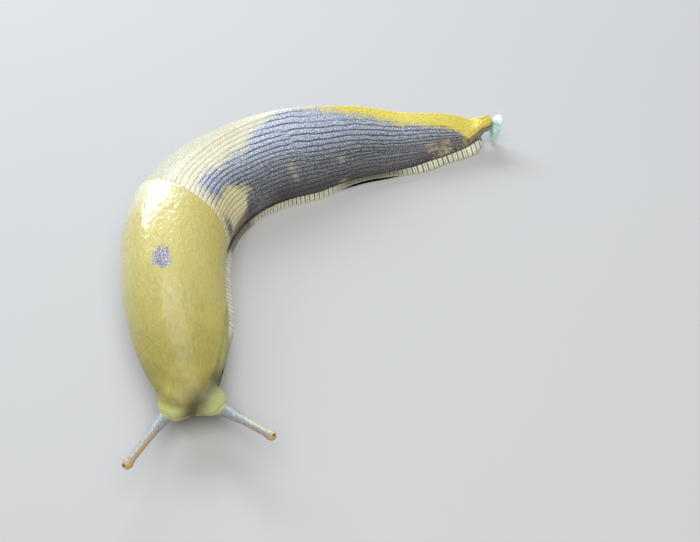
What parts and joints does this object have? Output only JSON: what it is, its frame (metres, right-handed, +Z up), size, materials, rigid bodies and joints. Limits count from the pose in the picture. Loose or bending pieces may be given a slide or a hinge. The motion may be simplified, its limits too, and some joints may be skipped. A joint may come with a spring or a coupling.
{
  "type": "banana slug",
  "caption": "Life-size still model of a crawling banana slug, bent to its left, with mantle, keeled furrowed back, ribbed foot fringe, eye stalks and a mucus plug at the tail.",
  "frame": {"origin": "middle of the underside of the whole animal's box, on the floor under its sole", "axes": "+Z up, -Y towards the head, +X towards the tail"},
  "size_m": [0.1051, 0.1244, 0.0239],
  "materials": {
    "head_skin": "moist yellow-green skin",
    "trunk_skin": "moist furrowed skin",
    "mantle_skin": "wet, finely grained ochre skin",
    "back_skin": "moist, furrowed slate and blackish brown skin",
    "tail_skin": "moist yellow and brown furrowed skin",
    "foot_skin": "moist pale green fringe with dark grooves",
    "stalk_skin": "translucent grey skin with yellow edges",
    "eye": "glossy black",
    "mucus": "pale green translucent dried mucus"
  },
  "bodies": {
    "root": {"head": "head_skin", "neck": "trunk_skin", "trunk_front": "trunk_skin", "trunk_rear": "trunk_skin", "mantle": "mantle_skin", "back_front": "back_skin", "back_rear": "back_skin", "tail": "tail_skin", "tail_plug": "mucus", "foot_front": "foot_skin", "foot_middle": "foot_skin", "foot_rear": "foot_skin", "foot_tail": "foot_skin", "eye_stalk_right_lower": "stalk_skin", "eye_stalk_right_upper": "stalk_skin", "eye_knob_right": "stalk_skin", "eye_right": "eye", "eye_stalk_left_lower": "stalk_skin", "eye_stalk_left_upper": "stalk_skin", "eye_knob_left": "stalk_skin", "eye_left": "eye", "feeler_right": "stalk_skin", "feeler_left": "stalk_skin"}
  },
  "joints": []
}
